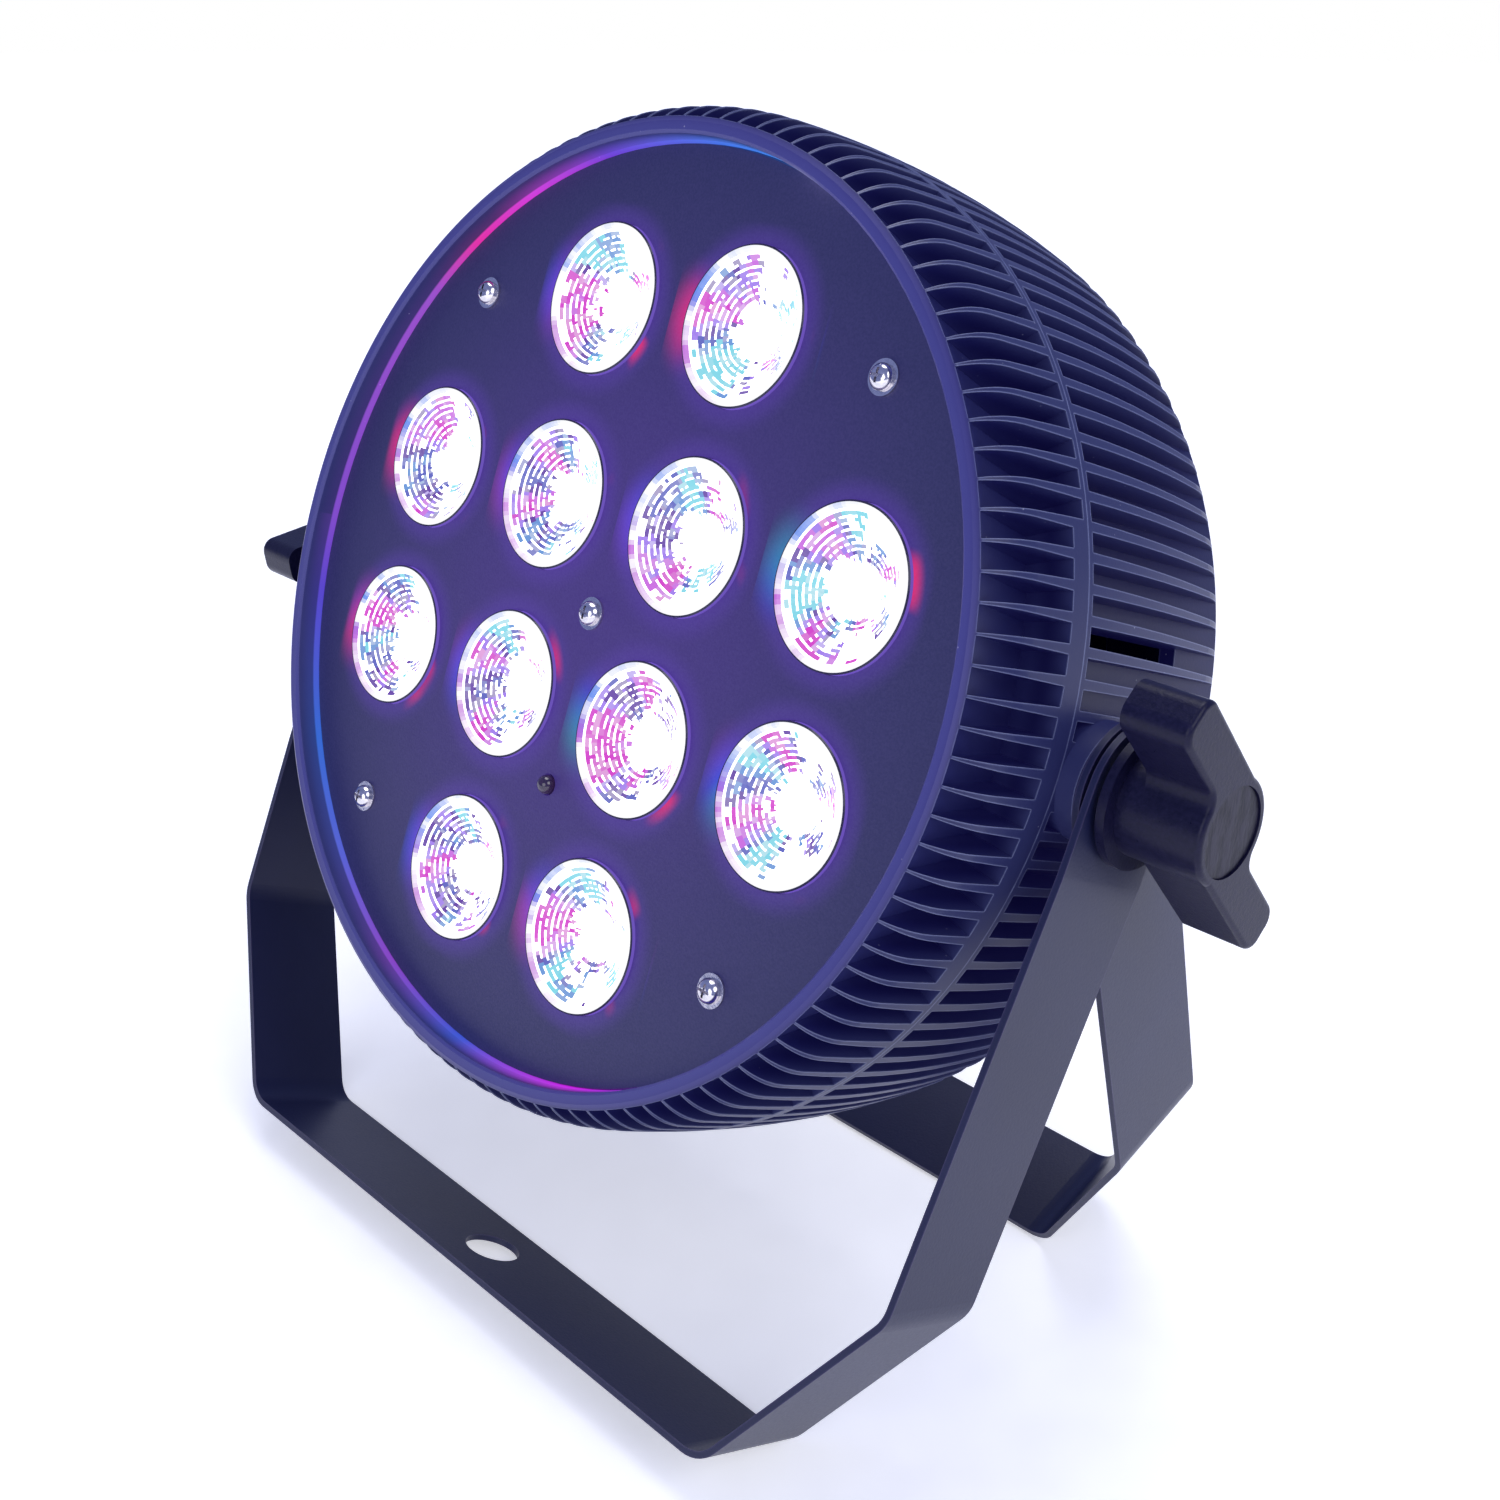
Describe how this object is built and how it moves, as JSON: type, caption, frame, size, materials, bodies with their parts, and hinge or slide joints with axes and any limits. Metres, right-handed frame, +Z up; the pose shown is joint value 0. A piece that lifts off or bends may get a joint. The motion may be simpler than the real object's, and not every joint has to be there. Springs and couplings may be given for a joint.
{
  "type": "par can light",
  "caption": "Flat LED par light with a round ribbed head, clear collimator lenses in a black panel, and a double strap bracket clamped by wing knobs.",
  "frame": {"origin": "centre of the bounding box on the floor that the two bracket bars stand on", "axes": "+Z up, the lenses face -Y and look up by 21.2 degrees, +X along the pivot axis to the right of someone facing the lenses"},
  "size_m": [0.2904, 0.1682, 0.2655],
  "materials": {
    "shell_plastic": "matte moulded plastic, blue-black",
    "panel_paint": "matte black powder coat",
    "bracket_paint": "fine satin black powder coat",
    "knob_plastic": "fine spark-eroded texture with smooth edges",
    "knob_cap_plastic": "scuffed gloss",
    "lens_acrylic": "clear acrylic with fine facets",
    "inner_plastic": "plain moulded",
    "screw_steel": "nickel plated",
    "black_steel": "black oxide",
    "washer_steel": "zinc plated",
    "washer_plastic": "nylon",
    "turned_aluminium": "mill finish",
    "circuit_board": "solder mask",
    "led_emitter": "phosphor and clear dome",
    "ir_plastic": "dark infrared window",
    "display_glass": "smoked window",
    "display_body": "segment display",
    "button_rubber": "matte",
    "socket_plastic": "moulded",
    "socket_metal": "black die casting",
    "pin_brass": "bright"
  },
  "bodies": {
    "front_bracket": {"front_bracket": "bracket_paint"},
    "rear_bracket": {"rear_bracket": "bracket_paint"},
    "head": {"button_switches": "inner_plastic", "control_board": "circuit_board", "control_board_spacers": "turned_aluminium", "display_module": "display_body", "display_window": "display_glass", "fan_frame": "inner_plastic", "fan_screws": "screw_steel", "friction_washers": "washer_plastic", "front_panel": "panel_paint", "front_shell": "shell_plastic", "fuse_drawer": "socket_plastic", "heat_sink": "turned_aluminium", "ir_board": "circuit_board", "ir_receiver": "ir_plastic", "led_board": "circuit_board", "led_emitters": "led_emitter", "lens_01": "lens_acrylic", "lens_02": "lens_acrylic", "lens_03": "lens_acrylic", "lens_04": "lens_acrylic", "lens_05": "lens_acrylic", "lens_06": "lens_acrylic", "lens_07": "lens_acrylic", "lens_08": "lens_acrylic", "lens_09": "lens_acrylic", "lens_10": "lens_acrylic", "lens_11": "lens_acrylic", "lens_12": "lens_acrylic", "lens_holders": "inner_plastic", "mains_inlet": "socket_plastic", "mains_pins": "pin_brass", "panel_screws": "screw_steel", "panel_standoffs": "turned_aluminium", "panel_washers": "screw_steel", "pivot_insert_left": "pin_brass", "pivot_insert_right": "pin_brass", "power_supply_board": "circuit_board", "power_supply_parts": "inner_plastic", "rear_plate": "panel_paint", "rear_plate_screws": "black_steel", "rear_shell": "shell_plastic", "shell_screws": "black_steel", "signal_in_pins": "pin_brass", "signal_in_socket": "socket_metal", "signal_out_socket": "socket_metal"},
    "fan_rotor": {"fan_rotor": "inner_plastic"},
    "knob_right": {"knob_right": "knob_plastic", "knob_cap_right": "knob_cap_plastic", "knob_washer_right": "washer_steel", "bolt_right": "washer_steel"},
    "knob_left": {"knob_left": "knob_plastic", "knob_cap_left": "knob_cap_plastic", "knob_washer_left": "washer_steel", "bolt_left": "washer_steel"},
    "button_menu": {"button_menu": "button_rubber"},
    "button_down": {"button_down": "button_rubber"},
    "button_up": {"button_up": "button_rubber"},
    "button_enter": {"button_enter": "button_rubber"}
  },
  "joints": [
    {"name": "head_tilt", "type": "hinge", "parent": "front_bracket", "child": "head", "pos_m": [0, -0.00282, 0.14958], "axis": [-1, 0, 0], "continuous": true},
    {"name": "rear_bracket_swing", "type": "hinge", "parent": "front_bracket", "child": "rear_bracket", "pos_m": [0, -0.00282, 0.14958], "axis": [1, 0, 0], "continuous": true},
    {"name": "knob_right_turn", "type": "hinge", "parent": "head", "child": "knob_right", "pos_m": [0.13, -0.00282, 0.14958], "axis": [1, 0, 0], "continuous": true},
    {"name": "knob_left_turn", "type": "hinge", "parent": "head", "child": "knob_left", "pos_m": [-0.13, -0.00282, 0.14958], "axis": [-1, 0, 0], "continuous": true},
    {"name": "fan_spin", "type": "hinge", "parent": "head", "child": "fan_rotor", "pos_m": [0, 0.01583, 0.14234], "axis": [0, 0.9323, -0.3616], "continuous": true},
    {"name": "button_menu_press", "type": "slide", "parent": "head", "child": "button_menu", "axis": [0, -0.9323, 0.3616], "range_m": [0, 0.0006], "stiffness_N_per_m": 1500},
    {"name": "button_down_press", "type": "slide", "parent": "head", "child": "button_down", "axis": [0, -0.9323, 0.3616], "range_m": [0, 0.0006], "stiffness_N_per_m": 1500},
    {"name": "button_up_press", "type": "slide", "parent": "head", "child": "button_up", "axis": [0, -0.9323, 0.3616], "range_m": [0, 0.0006], "stiffness_N_per_m": 1500},
    {"name": "button_enter_press", "type": "slide", "parent": "head", "child": "button_enter", "axis": [0, -0.9323, 0.3616], "range_m": [0, 0.0006], "stiffness_N_per_m": 1500}
  ]
}
